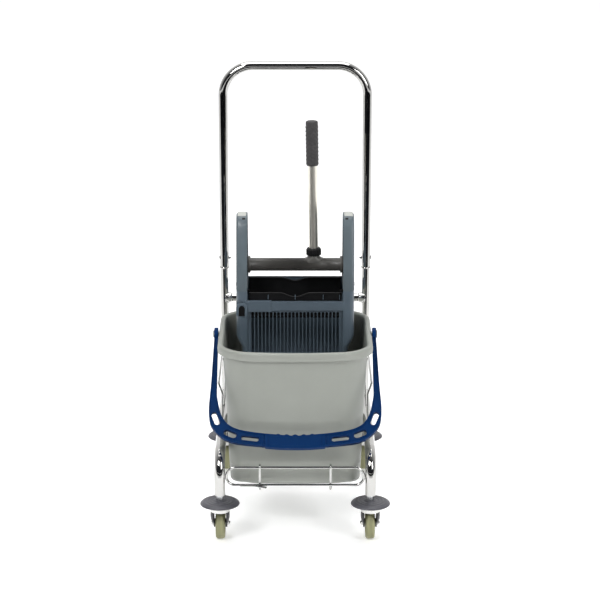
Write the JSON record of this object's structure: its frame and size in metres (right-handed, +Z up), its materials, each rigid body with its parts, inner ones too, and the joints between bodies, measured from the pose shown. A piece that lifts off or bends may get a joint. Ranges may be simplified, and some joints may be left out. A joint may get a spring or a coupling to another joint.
{
  "type": "mop bucket trolley with wringer",
  "caption": "Wheeled mop-bucket trolley whose wringer lever drives racks that pull folding press plates down on a mop; the bucket lifts out by its bail and the casters swivel.",
  "frame": {"origin": "on the floor, in the middle of the trolley's bounding box", "axes": "+Z up, the front of the trolley faces -Y, the push handle stands at +Y, +X to the right as seen from the front looking along +Y"},
  "size_m": [0.442, 0.5684, 1.054],
  "materials": {
    "chromed_tube": "polished chrome plate",
    "chromed_wire": "polished chrome plate",
    "tube_collar": "moulded, satin",
    "zinc_fastener": "bright zinc",
    "socket_plastic": "moulded, satin",
    "disc_plastic": "moulded, satin",
    "caster_steel": "bright zinc plate",
    "hub_plastic": "moulded",
    "tyre_rubber": "non-marking, satin",
    "guard_plastic": "moulded, satin",
    "bucket_plastic": "moulded polypropylene, satin",
    "bail_plastic": "moulded, semi-gloss",
    "wringer_plastic": "moulded polypropylene, satin",
    "housing_plastic": "moulded polypropylene, satin",
    "press_plastic": "moulded, satin",
    "lever_chrome": "polished chrome plate",
    "grip_rubber": "knurled soft grip",
    "gear_plastic": "glass-filled nylon",
    "steel_rod": "zinc plate"
  },
  "bodies": {
    "frame": {"side_rail_left": "chromed_tube", "side_rail_right": "chromed_tube", "rear_post_left": "chromed_tube", "rear_post_right": "chromed_tube", "push_handle": "chromed_tube", "handle_screws": "zinc_fastener", "handle_nuts": "zinc_fastener", "cross_tube": "chromed_tube", "cross_tube_collars": "tube_collar", "front_wire_loop": "chromed_wire", "rear_wire_loop": "chromed_wire", "cradle_wire_left": "chromed_wire", "cradle_wire_right": "chromed_wire", "cross_wires": "chromed_wire", "side_guard_left": "chromed_wire", "side_guard_right": "chromed_wire", "leg_sockets": "socket_plastic", "bumper_disc_front_left": "disc_plastic", "bumper_disc_front_right": "disc_plastic", "bumper_disc_rear_left": "disc_plastic", "bumper_disc_rear_right": "disc_plastic"},
    "bucket": {"bucket": "bucket_plastic", "bail_pivots": "bucket_plastic"},
    "bail": {"bail": "bail_plastic"},
    "wringer": {"wringer_basket": "wringer_plastic", "rack_housing_left": "housing_plastic", "rack_housing_right": "housing_plastic", "housing_screws": "zinc_fastener", "handle_clip": "wringer_plastic"},
    "lever": {"press_shaft": "press_plastic", "collar_nut": "press_plastic", "lever_tube": "lever_chrome", "lever_grip": "grip_rubber", "pinion_left": "gear_plastic", "pinion_right": "gear_plastic"},
    "press_carriage": {"rack_left": "gear_plastic", "rack_right": "gear_plastic", "plate_hinge_rods": "steel_rod"},
    "front_plate": {"front_press_plate": "press_plastic"},
    "rear_plate": {"rear_press_plate": "press_plastic"},
    "caster_front_left": {"caster_fork_front_left": "caster_steel", "fork_shrouds_front_left": "guard_plastic", "axle_bolt_front_left": "caster_steel"},
    "wheel_front_left": {"wheel_hub_front_left": "hub_plastic", "wheel_tyre_front_left": "tyre_rubber"},
    "caster_front_right": {"caster_fork_front_right": "caster_steel", "fork_shrouds_front_right": "guard_plastic", "axle_bolt_front_right": "caster_steel"},
    "wheel_front_right": {"wheel_hub_front_right": "hub_plastic", "wheel_tyre_front_right": "tyre_rubber"},
    "caster_rear_left": {"caster_fork_rear_left": "caster_steel", "fork_shrouds_rear_left": "guard_plastic", "axle_bolt_rear_left": "caster_steel"},
    "wheel_rear_left": {"wheel_hub_rear_left": "hub_plastic", "wheel_tyre_rear_left": "tyre_rubber"},
    "caster_rear_right": {"caster_fork_rear_right": "caster_steel", "fork_shrouds_rear_right": "guard_plastic", "axle_bolt_rear_right": "caster_steel"},
    "wheel_rear_right": {"wheel_hub_rear_right": "hub_plastic", "wheel_tyre_rear_right": "tyre_rubber"}
  },
  "joints": [
    {"name": "bucket_lift", "type": "slide", "parent": "frame", "child": "bucket", "axis": [0, 0, 1], "range_m": [0, 0.3]},
    {"name": "bail_swing", "type": "hinge", "parent": "bucket", "child": "bail", "pos_m": [0, -0.05625, 0.452], "axis": [-1, 0, 0], "range_deg": [0, 125]},
    {"name": "wringer_lift", "type": "slide", "parent": "bucket", "child": "wringer", "axis": [0, 0, 1], "range_m": [0, 0.3]},
    {"name": "lever_press", "type": "hinge", "parent": "wringer", "child": "lever", "pos_m": [0, 0.04025, 0.596], "axis": [1, 0, 0], "range_deg": [0, 105]},
    {"name": "press_slide", "type": "slide", "parent": "wringer", "child": "press_carriage", "axis": [0, 0, -1], "range_m": [0, 0.0505]},
    {"name": "front_plate_fold", "type": "hinge", "parent": "press_carriage", "child": "front_plate", "pos_m": [0, -0.03125, 0.489], "axis": [-1, 0, 0], "range_deg": [0, 62.05]},
    {"name": "rear_plate_fold", "type": "hinge", "parent": "press_carriage", "child": "rear_plate", "pos_m": [0, 0.08275, 0.489], "axis": [1, 0, 0], "range_deg": [0, 62.05]},
    {"name": "swivel_front_left", "type": "hinge", "parent": "frame", "child": "caster_front_left", "pos_m": [-0.175, -0.23825, 0.09], "axis": [0, 0, 1], "continuous": true},
    {"name": "roll_front_left", "type": "hinge", "parent": "caster_front_left", "child": "wheel_front_left", "pos_m": [-0.175, -0.21325, 0.0375], "axis": [1, 0, 0], "continuous": true},
    {"name": "swivel_front_right", "type": "hinge", "parent": "frame", "child": "caster_front_right", "pos_m": [0.175, -0.23825, 0.09], "axis": [0, 0, 1], "continuous": true},
    {"name": "roll_front_right", "type": "hinge", "parent": "caster_front_right", "child": "wheel_front_right", "pos_m": [0.175, -0.21325, 0.0375], "axis": [1, 0, 0], "continuous": true},
    {"name": "swivel_rear_left", "type": "hinge", "parent": "frame", "child": "caster_rear_left", "pos_m": [-0.175, 0.22175, 0.09], "axis": [0, 0, 1], "continuous": true},
    {"name": "roll_rear_left", "type": "hinge", "parent": "caster_rear_left", "child": "wheel_rear_left", "pos_m": [-0.175, 0.24675, 0.0375], "axis": [1, 0, 0], "continuous": true},
    {"name": "swivel_rear_right", "type": "hinge", "parent": "frame", "child": "caster_rear_right", "pos_m": [0.175, 0.22175, 0.09], "axis": [0, 0, 1], "continuous": true},
    {"name": "roll_rear_right", "type": "hinge", "parent": "caster_rear_right", "child": "wheel_rear_right", "pos_m": [0.175, 0.24675, 0.0375], "axis": [1, 0, 0], "continuous": true}
  ],
  "couplings": [
    {"joint": "press_slide", "follows": "lever_press", "m_per_rad": 0.0275},
    {"joint": "front_plate_fold", "follows": "lever_press", "ratio": 0.59048},
    {"joint": "rear_plate_fold", "follows": "lever_press", "ratio": 0.59048}
  ]
}
